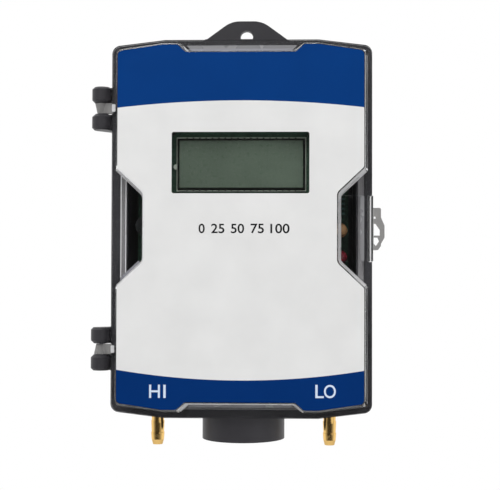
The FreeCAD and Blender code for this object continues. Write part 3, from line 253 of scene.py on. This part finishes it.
def noise(tree, scale, detail=4.0, stretch=(1, 1, 1)):
    """Noise over the object's own metres: scale is how many features fit in a metre."""
    place = tree.nodes.new("ShaderNodeTexCoord")
    shape = tree.nodes.new("ShaderNodeMapping")
    shape.inputs["Scale"].default_value = stretch
    made = tree.nodes.new("ShaderNodeTexNoise")
    made.inputs["Scale"].default_value = scale
    made.inputs["Detail"].default_value = detail
    tree.links.new(place.outputs["Object"], shape.inputs["Vector"])
    tree.links.new(shape.outputs["Vector"], made.inputs["Vector"])
    return made.outputs["Fac"]


def blend_colours(tree, factor, first, last):
    made = tree.nodes.new("ShaderNodeMix")
    made.data_type = "RGBA"
    made.inputs["A"].default_value = (*first, 1)
    made.inputs["B"].default_value = (*last, 1)
    tree.links.new(factor, made.inputs["Factor"])
    return made.outputs["Result"]


def spread(tree, source, low, high, first=0.3, last=0.7):
    made = tree.nodes.new("ShaderNodeMapRange")
    made.inputs["From Min"].default_value = first
    made.inputs["From Max"].default_value = last
    made.inputs["To Min"].default_value = low
    made.inputs["To Max"].default_value = high
    tree.links.new(source, made.inputs["Value"])
    return made.outputs["Result"]


def bump(tree, shader, source, height):
    made = tree.nodes.new("ShaderNodeBump")
    made.inputs["Strength"].default_value = 1.0
    made.inputs["Distance"].default_value = height * MM
    tree.links.new(source, made.inputs["Height"])
    tree.links.new(made.outputs["Normal"], shader.inputs["Normal"])


def surface(name, colour, roughness, **look):
    """A solid surface: soft patches of colour, uneven gloss and a fine grain."""
    vary = look.get("vary", 0.08)
    made, tree, shader = new_material(name)
    patches = spread(tree, noise(tree, look.get("patch", 60), 3.0), 0, 1)
    dark, light = ([min(c * (1 + side * vary), 1) for c in colour] for side in (-1, 1))
    tree.links.new(blend_colours(tree, patches, dark, light), shader.inputs["Base Color"])
    fine = noise(tree, look.get("grain", 2500), 2.0, look.get("stretch", (1, 1, 1)))
    gloss = spread(tree, fine, roughness * 0.85, min(roughness * 1.15, 1))
    tree.links.new(gloss, shader.inputs["Roughness"])
    shader.inputs["Metallic"].default_value = look.get("metallic", 0.0)
    shader.inputs["Specular IOR Level"].default_value = look.get("specular", 0.3)
    bump(tree, shader, fine, look.get("height", 0.01))
    return made


def clear(name, tint, roughness, share=1.0):
    """Clear moulded plastic, which lets the lamps through; a smaller share makes it cloudy."""
    made, tree, shader = new_material(name)
    patches = noise(tree, 90, 2.0)
    darker = [c * 0.96 for c in tint]
    tree.links.new(blend_colours(tree, patches, darker, tint), shader.inputs["Base Color"])
    tree.links.new(spread(tree, patches, roughness * 0.7, roughness * 1.3), shader.inputs["Roughness"])
    shader.inputs["Transmission Weight"].default_value = share
    shader.inputs["IOR"].default_value = 1.46
    bump(tree, shader, noise(tree, 160, 1.0), 0.01)
    rays = tree.nodes.new("ShaderNodeLightPath")
    passing = tree.nodes.new("ShaderNodeBsdfTransparent")
    light = 0.85 * share
    passing.inputs["Color"].default_value = (light, light, light, 1)
    mixed = tree.nodes.new("ShaderNodeMixShader")
    tree.links.new(rays.outputs["Is Shadow Ray"], mixed.inputs["Fac"])
    tree.links.new(shader.outputs["BSDF"], mixed.inputs[1])
    tree.links.new(passing.outputs["BSDF"], mixed.inputs[2])
    tree.links.new(mixed.outputs["Shader"], tree.nodes["Material Output"].inputs["Surface"])
    return made


def board_mask(name, colour, trace):
    """Solder mask with the faint relief of copper tracks under it."""
    made, tree, shader = new_material(name)
    place = tree.nodes.new("ShaderNodeTexCoord")
    turn = tree.nodes.new("ShaderNodeMapping")
    turn.inputs["Rotation"].default_value = (math.pi / 2, 0, 0)
    tracks = tree.nodes.new("ShaderNodeTexBrick")
    tracks.inputs["Color1"].default_value = (0, 0, 0, 1)
    tracks.inputs["Color2"].default_value = (0.25, 0.25, 0.25, 1)
    tracks.inputs["Mortar"].default_value = (1, 1, 1, 1)
    tracks.inputs["Scale"].default_value = 95.0
    tracks.inputs["Mortar Size"].default_value = 0.035
    tracks.inputs["Brick Width"].default_value = 0.9
    tracks.inputs["Row Height"].default_value = 0.2
    tree.links.new(place.outputs["Object"], turn.inputs["Vector"])
    tree.links.new(turn.outputs["Vector"], tracks.inputs["Vector"])
    mixed = blend_colours(tree, tracks.outputs["Color"], colour, trace)
    tree.links.new(mixed, shader.inputs["Base Color"])
    tree.links.new(spread(tree, noise(tree, 700), 0.28, 0.42), shader.inputs["Roughness"])
    shader.inputs["Specular IOR Level"].default_value = 0.3
    bump(tree, shader, tracks.outputs["Color"], 0.03)
    return made


def label_ink(name, colour):
    return surface(name, colour, 0.45, vary=0.03, grain=1800, height=0.004, specular=0.04)


MATERIALS = {
    "housing_plastic": surface("housing_plastic", (0.041, 0.0395, 0.045), 0.42, grain=3200, height=0.02),
    "clear_plastic": clear("clear_plastic", (0.97, 0.98, 0.98), 0.04),
    # Pale cloudy plastics that paint highlights on the lid's walls, ledges and edges
    "painted_highlight_frosted": clear("painted_highlight_frosted", (0.9, 0.9, 0.91), 0.3, 0.12),
    "painted_highlight_milky": clear("painted_highlight_milky", (0.34, 0.34, 0.38), 0.3, 0.15),
    "painted_highlight_cloudy": clear("painted_highlight_cloudy", (0.33, 0.33, 0.345), 0.25, 0.25),
    "label_film": label_ink("label_film", (0.80, 0.80, 0.795)),
    "gasket_rubber": surface("gasket_rubber", (0.3, 0.29, 0.3), 0.75, grain=4000, height=0.03),
    "seal_rubber": surface("seal_rubber", (0.02, 0.02, 0.02), 0.7, grain=4000),
    "pin_steel": surface("pin_steel", (0.58, 0.58, 0.6), 0.28, metallic=1.0, stretch=(8, 8, 0.5)),
    "fitting_brass": surface(
        "fitting_brass", (0.88, 0.57, 0.2), 0.12,
        vary=0.06, metallic=1.0, stretch=(1, 1, 6), height=0.001,
    ),
    "insert_brass": surface("insert_brass", (0.74, 0.52, 0.22), 0.3, metallic=1.0),
    "tube_silicone": surface("tube_silicone", (0.62, 0.6, 0.54), 0.45, vary=0.04, grain=900),
    "sensor_plastic": surface("sensor_plastic", (0.42, 0.42, 0.4), 0.5, vary=0.05),
    "board_green": board_mask("board_green", (0.006, 0.032, 0.018), (0.012, 0.05, 0.028)),
    "display_mask": board_mask("display_mask", (0.035, 0.085, 0.052), (0.045, 0.11, 0.068)),
    "spacer_nylon": surface("spacer_nylon", (0.045, 0.05, 0.047), 0.5, vary=0.04, grain=1500),
    "display_glass": surface("display_glass", (0.006, 0.008, 0.006), 0.12, grain=900, height=0.001),
    "contact_black": surface("contact_black", (0.008, 0.01, 0.008), 0.5),
    "header_plastic": surface("header_plastic", (0.02, 0.02, 0.02), 0.45),
    "terminal_plastic": surface("terminal_plastic", (0.02, 0.2, 0.07), 0.42, vary=0.06),
    "clamp_steel": surface("clamp_steel", (0.62, 0.62, 0.63), 0.3, metallic=1.0),
    "switch_plastic": surface("switch_plastic", (0.025, 0.025, 0.027), 0.45),
    "button_plastic": surface("button_plastic", (0.45, 0.04, 0.03), 0.4, vary=0.05),
    "switch_blue": surface("switch_blue", (0.02, 0.1, 0.42), 0.4, vary=0.05),
    "lever_white": surface("lever_white", (0.75, 0.75, 0.72), 0.45, vary=0.03),
    "lamp_amber": surface("lamp_amber", (0.36, 0.2, 0.095), 0.18, vary=0.1, grain=800),
    "lamp_red": surface("lamp_red", (0.16, 0.012, 0.022), 0.2, vary=0.1, grain=800),
    "chip_epoxy": surface("chip_epoxy", (0.012, 0.012, 0.013), 0.5, grain=5000, height=0.015),
    "capacitor_sleeve": surface("capacitor_sleeve", (0.012, 0.014, 0.014), 0.35),
    "part_ceramic": surface("part_ceramic", (0.03, 0.09, 0.075), 0.5, grain=3000),
}

NODE_SLOTS = {
    "housing": "housing_plastic",
    "gasket": "gasket_rubber",
    "lid": "clear_plastic",
    "label": "label_film",
    "hinge_pins": "pin_steel",
    "high_port": "fitting_brass",
    "low_port": "fitting_brass",
    "high_tube": "tube_silicone",
    "low_tube": "tube_silicone",
    "port_seals": "seal_rubber",
    "pressure_sensor": "sensor_plastic",
    "main_board": "board_green",
    "threaded_inserts": "insert_brass",
    "board_screws": "clamp_steel",
    "display_spacers": "spacer_nylon",
    "display_board": "display_mask",
    "display_glass": "display_glass",
    "display_pins": "contact_black",
    "display_header": "header_plastic",
    "terminal_block": "terminal_plastic",
    "terminal_screws": "clamp_steel",
    "wire_clamps": "clamp_steel",
    "zero_switch": "switch_plastic",
    "zero_button": "button_plastic",
    "range_switch": "switch_blue",
    "amber_lamp": "lamp_amber",
    "red_lamp": "lamp_red",
    "microcontroller": "chip_epoxy",
    "amplifier_chips": "chip_epoxy",
    "capacitors": "capacitor_sleeve",
    "voltage_regulator": "chip_epoxy",
    "surface_parts": "part_ceramic",
}
NODE_SLOTS.update({f"range_lever_{index}": "lever_white" for index in range(1, 5)})


def dress_nodes():
    for node, look in NODE_SLOTS.items():
        for place in frame["nodes"][node].material_slots:
            place.material = MATERIALS[look]


# Lid and gasket


def lid_shell():
    """The lid's own mesh, with pale frosted plastic as a painted highlight on the walls of windows and
    notches, and duller on lugs and tab, and on the arm.
    """
    mesh = frame["nodes"]["lid"].data.copy()
    mesh.materials.clear()
    looks = (
        MATERIALS["clear_plastic"],
        MATERIALS["painted_highlight_frosted"],
        clear("clear_tab", (0.36, 0.355, 0.35), 0.2, 0.4),
        clear("clear_arm", (0.72, 0.72, 0.73), 0.08, 0.9),
    )
    for look in looks:
        mesh.materials.append(look)
    wall, tab, arm = 1, 2, 3
    steep = 0.6
    for face in mesh.polygons:
        x, out, z = face.center.x / MM, -face.center.y / MM, face.center.z / MM
        rises = LID_FACE + 0.1 < out < PLATEAU_OUT - 0.05 and abs(face.normal.y) < steep
        outward = face.normal.x * x + face.normal.z * z > 0
        in_window = abs(z) < WINDOW_HALF + 2 and abs(x) < PLATEAU_SIDE
        in_notch = abs(x) < NOTCH_HALF + 1 and abs(z) < PLATEAU_FOOT
        # The outward walls of windows and notches take pale frosted plastic, a painted highlight
        if rises and outward and (in_window or in_notch):
            face.material_index = wall
        elif x > TAB_START or x < -LUG_START:
            face.material_index = tab
        elif x > ARM_START and abs(z) < ARM_HALF and out < GASKET_TOP - 0.1:
            face.material_index = arm
    shell = link("lid_shell", mesh, "lid")
    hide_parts("lid")


def trim(name, outline, look, low=LID_FACE, high=LID_FACE + TRIM_THICKNESS):
    """A thin piece of pale cloudy plastic on the lid, painting a highlight."""
    plate(name, [outline], low, high, MATERIALS[look], "lid")


def lid_trim():
    """Painted highlights of pale plastic: ledges in the long notches, at the roots of lugs and latch and at
    the left window, with lines there.
    """
    # Notch ledges, pale plates that paint the highlight of the notch walls: the plateau's height and side,
    # and where the ledge starts and ends beyond the wall's foot
    ledges = (
        ("top_inner", PLATEAU_TOP, 1, 0.0, 1.0, "painted_highlight_milky"),
        ("top_outer", PLATEAU_TOP, 1, 1.0, 2.3, "painted_highlight_cloudy"),
        ("low_inner", PLATEAU_FOOT, -1, 0.0, 0.9, "painted_highlight_cloudy"),
    )
    mouth = NOTCH_HALF - NOTCH_SLOPE - WALL_FOOT
    spreading = 0.9
    for name, top, side, start, end, look in ledges:
        foot = top - NOTCH_DEPTH + WALL_FOOT
        upper = [(mouth + rise * spreading, side * (foot + rise)) for rise in (start, end)]
        trim(f"notch_painted_highlight_{name}", [(-x, z) for x, z in upper] + upper[::-1], look)

    # Pale plates at the roots of the hinge lugs and of the latch arm paint highlights there
    for name, side in (("top", 1), ("low", -1)):
        trim(f"lug_painted_highlight_{name}", rectangle(-51.3, side * HINGE_HEIGHT, 0.7, 1.5, 0.4), "painted_highlight_frosted")
    trim("latch_painted_highlight", rectangle(48.1, 0, 0.75, 13.0, 0.4), "painted_highlight_cloudy")

    # Left window, all painted highlights: a pale bead between the plateau's edge and the label, two pale
    # lines over the gasket, and a pale ledge
    beyond, half = -36, 26
    edge, inner = (
        [(x, z) for x, z in plateau_outline(inset) if x < beyond and abs(z) < half]
        for inset in (0.03, LABEL_INSET)
    )
    trim("window_painted_highlight_bead", edge + inner[::-1], "painted_highlight_frosted", PLATEAU_OUT, PLATEAU_OUT + 0.1)
    trim("window_painted_highlight_outer", rectangle(-48.1, 0.9, 0.15, 20.5), "painted_highlight_frosted")
    trim("window_painted_highlight_inner", rectangle(-46.15, 0.65, 0.15, 18.35), "painted_highlight_frosted")
    slant = [(-48.25, -21.1), (-40.3, -13.6), (-41.0, -12.9), (-48.25, -19.7)]
    trim("window_painted_highlight_low", slant, "painted_highlight_milky")


def gasket_strip():
    """The gasket with a raised lip along each edge."""
    outer, inner, lip = 3.3, 5.5, 0.35
    foot = lip * 1.6
    crest, valley = GASKET_TOP - 0.06, GASKET_TOP - 0.4
    profile = [
        (outer, GASKET_LOW),
        (outer, crest),
        (outer + lip, crest),
        (outer + foot, valley),
        (inner - foot, valley),
        (inner - lip, crest),
        (inner, crest),
        (inner, GASKET_LOW),
    ]
    strip = ring("gasket_strip", case_outline, profile, MATERIALS["gasket_rubber"], "case")
    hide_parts("gasket")


def conduit_thread():
    """The ridge of the pipe thread, wound up the wall of the conduit opening."""
    around = 48
    count = THREAD_TURNS * around
    base = CONDUIT_RADIUS + THREAD_SINK
    points = []
    for step in range(count + 1):
        turn = math.tau * step / around
        # The ridge rises out of the wall over its first half turn and sinks into it over its last
        share = min(step, count - step, around // 2) / (around // 2)
        crest = CONDUIT_RADIUS - THREAD_SINK - (THREAD_HEIGHT - THREAD_SINK) * share
        level = THREAD_LOW + THREAD_PITCH * step / around
        section = (
            (base, -THREAD_HALF_BASE),
            (crest, -THREAD_HALF_CREST),
            (crest, THREAD_HALF_CREST),
            (base, THREAD_HALF_BASE),
        )
        for radius, above in section:
            x, out = radius * math.cos(turn), CONDUIT_OUT + radius * math.sin(turn)
            points.append(at(x, out, level + above))
    faces = [(0, 1, 2, 3), tuple(count * 4 + i for i in range(4))]
    for step in range(count):
        for i in range(4):
            j = (i + 1) % 4
            faces.append((step * 4 + i, step * 4 + j, step * 4 + 4 + j, step * 4 + 4 + i))
    ridge = add_mesh("conduit_thread", points, faces, MATERIALS["housing_plastic"], "case")


# Label: white film with a blue band at the top and at the bottom, and a cut for the display


def arc_height(x, centre, edge):
    """Height of a shallow arc with one level in the middle and another at the sides of the label."""
    side = PLATEAU_SIDE - LABEL_INSET
    sag = edge - centre
    radius = (side ** 2 + sag ** 2) / (2 * abs(sag))
    return centre + math.copysign(radius - math.sqrt(radius ** 2 - x ** 2), sag)


def top_arc(x):
    return arc_height(x, TOP_BAND_MIDDLE, TOP_BAND_SIDE)


def low_arc(x):
    return arc_height(x, LOW_BAND_MIDDLE, LOW_BAND_SIDE)


def keep_side(outline, height, above):
    """The part of an outline on one side of a shallow arc, closed along that arc."""
    sign = 1 if above else -1
    kept = []
    leave = 0
    for (x0, z0), (x1, z1) in zip(outline, outline[1:] + outline[:1]):
        first, last = sign * (z0 - height(x0)), sign * (z1 - height(x1))
        if first >= 0:
            kept.append((x0, z0))
        if (first >= 0) != (last >= 0):
            x = x0 + (x1 - x0) * first / (first - last)
            kept.append((x, height(x)))
            if first >= 0:
                leave = len(kept)
    start, end = kept[leave - 1][0], kept[leave % len(kept)][0]
    steps = 48
    across = [start + (end - start) * step / steps for step in range(1, steps)]
    return kept[:leave] + [(x, height(x)) for x in across] + kept[leave:]


def label_print():
    outline = plateau_outline(LABEL_INSET)
    cut = rectangle(0, DISPLAY_Z, CUT_HALF_WIDE, CUT_HALF_TALL, CUT_CORNER)
    middle = keep_side(keep_side(outline, top_arc, False), low_arc, True)
    film = MATERIALS["label_film"]
    white = plate("label_white", [middle, cut], PLATEAU_OUT, LABEL_OUT, film, "lid")
    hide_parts("label")
    bands = (
        ("label_band_top", top_arc, True, (0.0013, 0.042, 0.205)),
        ("label_band_low", low_arc, False, (0.0008, 0.030, 0.160)),
    )
    for name, arc, above, colour in bands:
        ink = label_ink(f"{name}_ink", colour)
        band = plate(name, [keep_side(outline, arc, above)], PLATEAU_OUT, LABEL_OUT, ink, "lid")


def lettering(name, words, middle, height, width, ink, weight):
    """Flat letters on the label, centred on a point, to a height and a width, made bolder by a weight."""
    curve = bpy.data.curves.new(name, "FONT")
    curve.body = words
    curve.offset = weight
    helper = bpy.data.objects.new(name, curve)
    mesh = bpy.data.meshes.new_from_object(helper)
    bpy.data.objects.remove(helper)
    xs = [vertex.co.x for vertex in mesh.vertices]
    ys = [vertex.co.y for vertex in mesh.vertices]
    wide, tall = width / (max(xs) - min(xs)), height / (max(ys) - min(ys))
    for vertex in mesh.vertices:
        x = middle[0] + (vertex.co.x - (min(xs) + max(xs)) / 2) * wide
        z = middle[1] + (vertex.co.y - (min(ys) + max(ys)) / 2) * tall
        vertex.co = at(x, PRINT_OUT, z)
    mesh.materials.clear()
    mesh.materials.append(ink)
    link(name, mesh, "lid")


def lettering_on_label():
    white = label_ink("ink_white", (0.66, 0.76, 0.92))
    black = label_ink("ink_black", (0.012, 0.012, 0.014))
    # Port letters: the letter, its middle and its width
    ports = (
        ("H", -33.3, -64.1, 4.25),
        ("I", -29.4, -64.1, 0.95),
        ("L", 31.1, -63.85, 3.3),
        ("O", 35.1, -63.85, 4.6),
    )
    tall, weight = 5.15, 0.008
    for text, x, z, width in ports:
        lettering(f"letter_{text}", text, (x, z), tall, width, white, weight)
    # A plain row of numbers under the display: the text and its width
    numbers = (("0", 2.4), ("25", 5.2), ("50", 5.2), ("75", 5.2), ("100", 7.5))
    centre, level, row = 1.5, -0.45, 35.6
    tall, weight = 3.75, 0.014
    gap = (row - sum(width for _, width in numbers)) / (len(numbers) - 1)
    left = centre - row / 2
    for text, width in numbers:
        lettering(f"number_{text}", text, (left + width / 2, level), tall, width, black, weight)
        left += width + gap


# Display


def display():
    """Two glass plates with a printed black frame, a painted highlight along the rear plate's edge, the
    grey-green field and the filling seal.
    """
    glass = MATERIALS["display_glass"]
    # The pale edge colour is a painted highlight along the glass edge
    edge = surface("display_edge_painted_highlight", (0.6, 0.67, 0.57), 0.25)
    field = surface(
        "display_field", (0.10, 0.135, 0.10), 0.3,
        vary=0.16, patch=22, grain=900, height=0.001,
    )
    step = DISPLAY_OUT + GLASS_THICKNESS
    top = step + GLASS_THICKNESS
    recess = 0.02
    # The rear plate and the part of it inside its pale edge, which is a painted highlight, then the front
    # plate and the field in its frame
    rear = rectangle(0, DISPLAY_Z, GLASS_HALF_WIDE, GLASS_HALF_TALL)
    rear_inner = rectangle(0, DISPLAY_Z, 25.35, 10.3)
    front = rectangle(0, DISPLAY_Z, 25.3, 10.0)
    area = rectangle(0, DISPLAY_Z, 24.5, 9.35)
    plates = (
        ("display_rear", [rear_inner], DISPLAY_OUT, step, glass),
        ("display_rear_edge", [rear, rear_inner], DISPLAY_OUT, step, edge),
        ("display_frame", [front, area], step, top, glass),
        ("display_field", [area], step, top - recess, field),
    )
    for name, loops, low, high, look in plates:
        piece = plate(name, loops, low, high, look, "case")
        if name == "display_rear":
            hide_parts("display_glass")
    # The seal is a round drop on the left edge, in the pale edge colour: partly its own light grey, partly a
    # painted highlight
    steps = 24
    drop = []
    for index in range(steps):
        turn = math.tau * index / steps
        x = -GLASS_HALF_WIDE + SEAL_RADIUS * math.cos(turn)
        drop.append((x, DISPLAY_Z - SEAL_RADIUS + SEAL_RADIUS * math.sin(turn)))
    seal = plate("display_seal", [drop], step - SEAL_HALF_DEPTH, step + SEAL_HALF_DEPTH, edge, "case")


# Stage


def world():
    """White behind the object for the eye, metal and glass; the light itself is a plain grey."""
    made = bpy.data.worlds.new("studio")
    bpy.context.scene.world = made
    made.use_nodes = True
    tree = made.node_tree
    tree.nodes.clear()
    rays = tree.nodes.new("ShaderNodeLightPath")

    def background(strength):
        shader = tree.nodes.new("ShaderNodeBackground")
        shader.inputs["Color"].default_value = (1, 1, 1, 1)
        shader.inputs["Strength"].default_value = strength
        return shader

    def mix(factor, first, last):
        shader = tree.nodes.new("ShaderNodeMixShader")
        tree.links.new(factor, shader.inputs["Fac"])
        tree.links.new(first, shader.inputs[1])
        tree.links.new(last, shader.inputs[2])
        return shader.outputs["Shader"]

    # Reflections see white behind and beside the object, and a dim room in front of it
    place = tree.nodes.new("ShaderNodeTexCoord")
    parts = tree.nodes.new("ShaderNodeSeparateXYZ")
    tree.links.new(place.outputs["Generated"], parts.inputs["Vector"])
    room = background(1.0)
    tree.links.new(spread(tree, parts.outputs["Y"], 0.05, 1.0, -0.85, 0.0), room.inputs["Strength"])

    def combine(operation, first, last):
        node = tree.nodes.new("ShaderNodeMath")
        node.operation = operation
        tree.links.new(first, node.inputs[0])
        tree.links.new(last, node.inputs[1])
        return node.outputs["Value"]

    # What reaches the eye through the lid counts as seen only where no surface has scattered it before
    unscattered = spread(tree, rays.outputs["Diffuse Depth"], 1, 0, 0, 1)
    unmirrored = spread(tree, rays.outputs["Glossy Depth"], 1, 0, 0, 1)
    mirrored = spread(tree, rays.outputs["Glossy Depth"], 0, 1, 0, 1)
    straight = combine("MULTIPLY", unscattered, unmirrored)
    seen = combine("MAXIMUM", rays.outputs["Is Camera Ray"], rays.outputs["Is Transmission Ray"])
    glossy = combine("MAXIMUM", rays.outputs["Is Glossy Ray"], mirrored)
    lit = mix(combine("MULTIPLY", glossy, unscattered), background(0.5).outputs[0], room.outputs[0])
    shown = mix(combine("MULTIPLY", seen, straight), lit, background(1.0).outputs[0])
    end = tree.nodes.new("ShaderNodeOutputWorld")
    tree.links.new(shown, end.inputs["Surface"])


def floor():
    """A pale disc below the object, in metres."""
    steps, radius, level = 96, 0.48, -0.25
    angles = [math.tau * index / steps for index in range(steps)]
    points = [(radius * math.cos(angle), radius * math.sin(angle), level) for angle in angles]
    look = surface("floor_pale", (0.88, 0.88, 0.88), 0.6, vary=0.01, patch=6, grain=200)
    made = add_mesh("floor", points, [tuple(range(steps))], look, None)


def lamps():
    """Three square lamps: the place and the side in metres, and the power in watts."""
    target = at(0, 30, 0)
    spots = (
        ("key", (-0.2, -0.68, 0.6), 0.5, 3.5),
        ("fill", (0.8, -0.9, 0.2), 0.9, 2.4),
        ("top", (0.0, 0.1, 1.1), 0.8, 2.0),
    )
    for name, place, size, power in spots:
        lamp = bpy.data.lights.new(name, "AREA")
        lamp.shape = "SQUARE"
        lamp.size = size
        lamp.energy = power
        made = bpy.data.objects.new(name, lamp)
        made.location = place
        aim = target - Vector(place)
        made.rotation_euler = aim.to_track_quat("-Z", "Y").to_euler()
        bpy.context.scene.collection.objects.link(made)


def camera():
    """The photograph's view: almost square on, a little right of the middle and a little below it."""
    place = at(24.31, 467.62, -21.87)
    turns = ((1.616, "Z"), (1.192, "X"), (-0.132, "Y"), (90, "X"))
    # In pixels: the picture's width, the focal length, and how far the picture is shifted
    wide, focal = 500.0, 1075.2
    right, down = 22.0, 16.0
    made = bpy.data.cameras.new("camera")
    made.sensor_fit = "HORIZONTAL"
    made.sensor_width = 36.0
    made.lens = focal / wide * made.sensor_width
    made.shift_x = -right / wide
    made.shift_y = down / wide
    made.clip_start = 10 * MM
    eye = bpy.data.objects.new("camera", made)
    turn = Matrix.Identity(4)
    for degrees, axis in turns:
        turn = turn @ Matrix.Rotation(math.radians(degrees), 4, axis)
    eye.matrix_world = Matrix.Translation(place) @ turn
    bpy.context.scene.collection.objects.link(eye)
    bpy.context.scene.camera = eye


bpy.context.scene.view_settings.view_transform = "Standard"
camera()
world()
floor()
lamps()
dress_nodes()
lid_shell()
lid_trim()
gasket_strip()
conduit_thread()
label_print()
lettering_on_label()
display()
